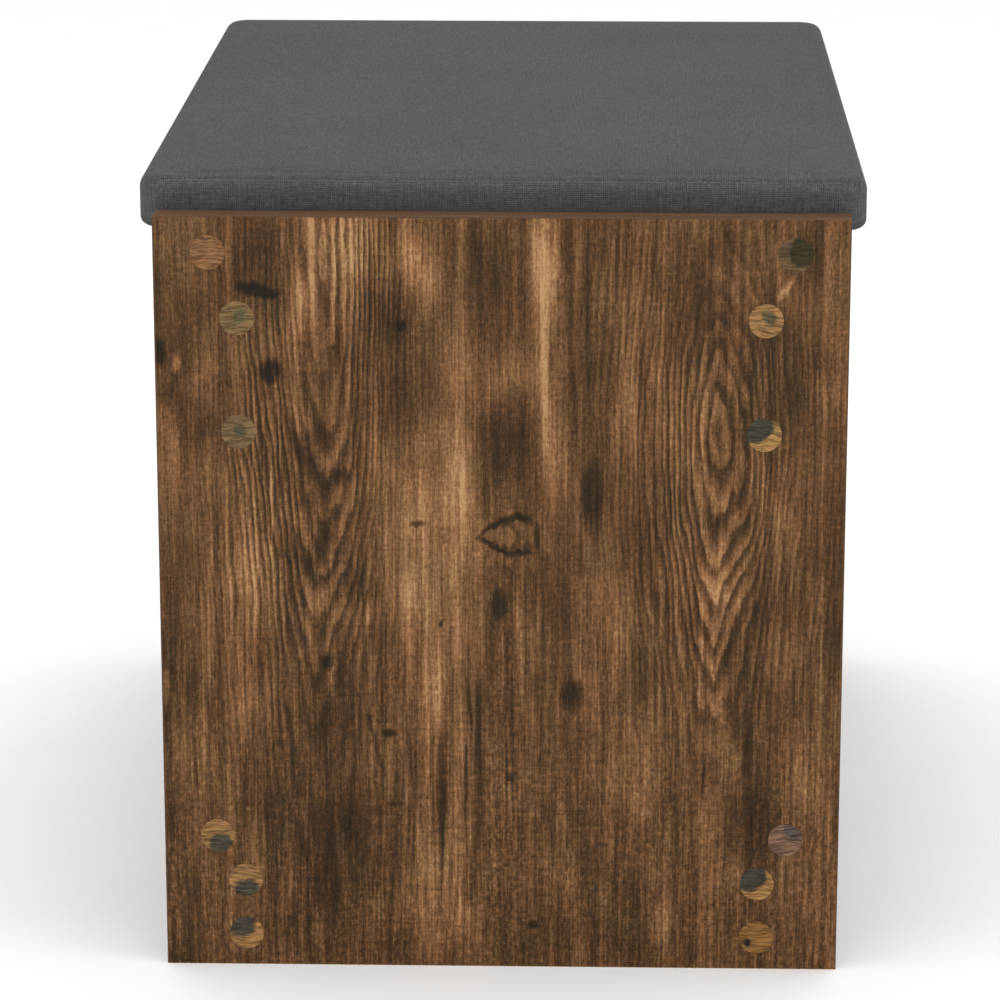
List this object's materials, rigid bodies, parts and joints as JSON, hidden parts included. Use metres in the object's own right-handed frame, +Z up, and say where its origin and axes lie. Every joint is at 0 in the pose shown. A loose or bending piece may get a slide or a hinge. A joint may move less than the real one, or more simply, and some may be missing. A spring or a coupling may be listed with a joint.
{
  "type": "storage bench",
  "caption": "Panel-sided storage bench with a hinged upholstered seat over a shallow compartment and an open shelf bay below.",
  "frame": {"origin": "on the floor, under the middle of the bench", "axes": "+X along the bench to its right-hand end, +Y to the rear (hinge side), +Z up"},
  "size_m": [0.6006, 0.4, 0.4521],
  "materials": {
    "panel_wood": "matt melamine print of smoked oak",
    "board_wood": "matt melamine print of smoked oak",
    "edge_strip": "matt brown plastic edge strip",
    "sticker_print": "printed wood-grain film, satin",
    "hardboard": "printed hardboard, matt",
    "chipboard": "raw chipboard",
    "foam": "open-cell foam",
    "seat_fabric": "coarse plain weave, matt",
    "dust_cloth": "spun-bonded cloth, matt",
    "zinc_steel": "zinc plated, satin",
    "beech": "plain beech",
    "bumper_rubber": "matt rubber"
  },
  "bodies": {
    "carcass": {"bottom_board": "board_wood", "bottom_board_edging": "edge_strip", "front_stretcher": "board_wood", "rear_stretcher": "board_wood", "stretcher_edging": "edge_strip", "front_apron": "board_wood", "rear_apron": "board_wood", "apron_edging": "edge_strip", "front_plinth": "board_wood", "rear_plinth": "board_wood", "tray_floor": "hardboard", "seat_bumpers": "bumper_rubber", "hinge_stretcher_screws": "zinc_steel", "left_hinge_fixed_leaf": "zinc_steel", "left_hinge_pin": "zinc_steel", "left_side_panel": "panel_wood", "left_panel_edging": "edge_strip", "left_carcass_screws": "zinc_steel", "left_screw_stickers": "sticker_print", "left_dowels": "beech", "left_stay_wall_plate": "zinc_steel", "left_stay_wall_screws": "zinc_steel", "left_stay_wall_rivet": "zinc_steel", "right_hinge_fixed_leaf": "zinc_steel", "right_hinge_pin": "zinc_steel", "right_side_panel": "panel_wood", "right_panel_edging": "edge_strip", "right_carcass_screws": "zinc_steel", "right_screw_stickers": "sticker_print", "right_dowels": "beech", "right_stay_wall_plate": "zinc_steel", "right_stay_wall_screws": "zinc_steel", "right_stay_wall_rivet": "zinc_steel"},
    "seat": {"seat_board": "chipboard", "seat_foam": "foam", "seat_cover": "seat_fabric", "dust_cover": "dust_cloth", "cover_staples": "zinc_steel", "hinge_seat_screws": "zinc_steel", "left_hinge_seat_leaf": "zinc_steel", "right_hinge_seat_leaf": "zinc_steel", "left_stay_seat_bracket": "zinc_steel", "right_stay_seat_bracket": "zinc_steel", "left_stay_seat_screws": "zinc_steel", "right_stay_seat_screws": "zinc_steel", "left_stay_seat_rivet": "zinc_steel", "right_stay_seat_rivet": "zinc_steel"},
    "left_lower_arm": {"left_stay_lower_arm": "zinc_steel", "left_stay_elbow_rivet": "zinc_steel"},
    "left_upper_arm": {"left_stay_upper_arm": "zinc_steel"},
    "right_lower_arm": {"right_stay_lower_arm": "zinc_steel", "right_stay_elbow_rivet": "zinc_steel"},
    "right_upper_arm": {"right_stay_upper_arm": "zinc_steel"}
  },
  "joints": [
    {"name": "seat_hinge", "type": "hinge", "parent": "carcass", "child": "seat", "pos_m": [0, 0.193, 0.4194], "axis": [-1, 0, 0], "range_deg": [0, 94.3]},
    {"name": "left_wall_pivot", "type": "hinge", "parent": "carcass", "child": "left_lower_arm", "pos_m": [-0.2816, 0.11524, 0.328], "axis": [-1, 0, 0], "range_deg": [0, 94.3]},
    {"name": "left_seat_pivot", "type": "hinge", "parent": "seat", "child": "left_upper_arm", "pos_m": [-0.2792, 0.07335, 0.4103], "axis": [1, 0, 0], "range_deg": [0, 94.3]},
    {"name": "right_wall_pivot", "type": "hinge", "parent": "carcass", "child": "right_lower_arm", "pos_m": [0.2816, 0.11524, 0.328], "axis": [-1, 0, 0], "range_deg": [0, 94.3]},
    {"name": "right_seat_pivot", "type": "hinge", "parent": "seat", "child": "right_upper_arm", "pos_m": [0.2792, 0.07335, 0.4103], "axis": [1, 0, 0], "range_deg": [0, 94.3]}
  ],
  "couplings": [
    {"joint": "left_wall_pivot", "follows": "seat_hinge", "ratio": 1},
    {"joint": "left_seat_pivot", "follows": "seat_hinge", "ratio": 1},
    {"joint": "right_wall_pivot", "follows": "seat_hinge", "ratio": 1},
    {"joint": "right_seat_pivot", "follows": "seat_hinge", "ratio": 1}
  ]
}
